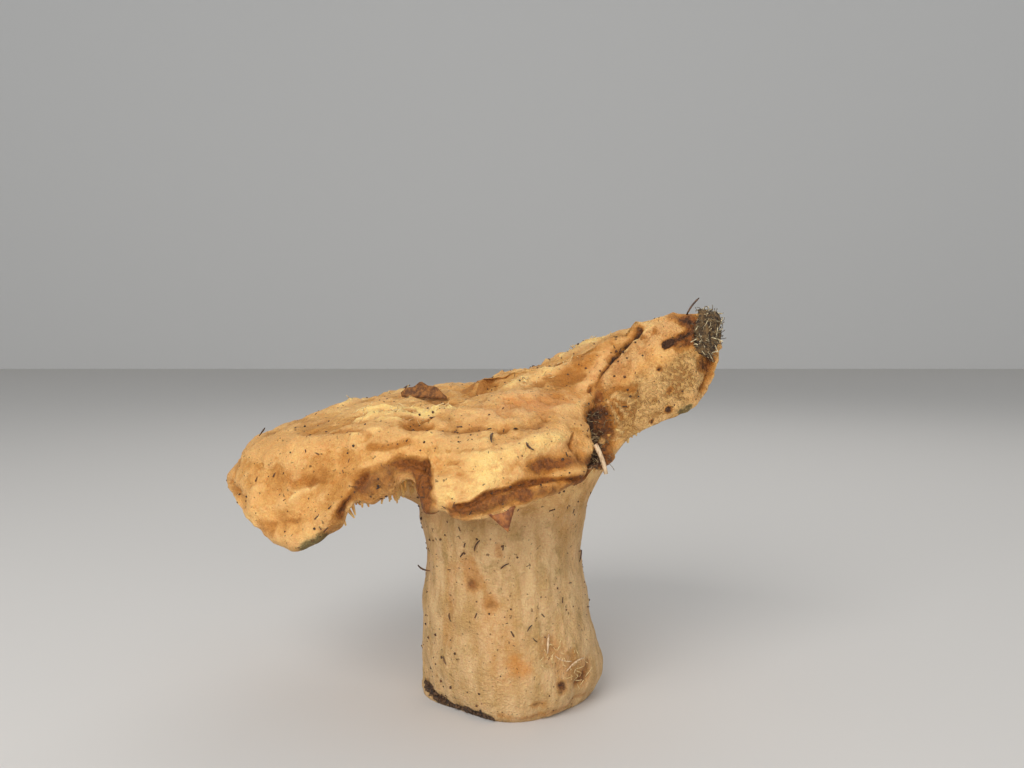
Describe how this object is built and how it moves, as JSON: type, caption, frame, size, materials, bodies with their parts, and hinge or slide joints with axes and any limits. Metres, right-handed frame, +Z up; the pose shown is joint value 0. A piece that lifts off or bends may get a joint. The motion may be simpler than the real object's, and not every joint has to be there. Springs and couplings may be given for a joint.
{
  "type": "hedgehog mushroom",
  "caption": "Picked hedgehog mushroom standing on its cut stem, with a lobed, lopsided cap, hanging teeth and clinging forest litter.",
  "frame": {"origin": "centre of the flat cut under the stem, on the surface it stands on", "axes": "+Z up along the stem, +X along the cap's longest spread towards the raised wing, -Y towards the side with the front lip"},
  "size_m": [0.0935, 0.0676, 0.0746],
  "materials": {
    "mushroom_flesh": "matt, finely felted mushroom skin with brown bruises",
    "soil": "dry dark humus",
    "moss_litter": "fibrous moss and humus",
    "bark": "dry bark",
    "straw": "dry pale straw",
    "needle": "dead conifer needle"
  },
  "bodies": {
    "root": {"fruiting_body": "mushroom_flesh", "soil_crust": "soil", "litter_tuft": "moss_litter", "bark_flake": "bark", "straw_stub": "straw", "straw_stem": "straw", "needle_upper": "needle", "needle_lip": "needle", "needle_face": "needle", "needle_lobe": "needle", "needle_stem": "needle"}
  },
  "joints": []
}
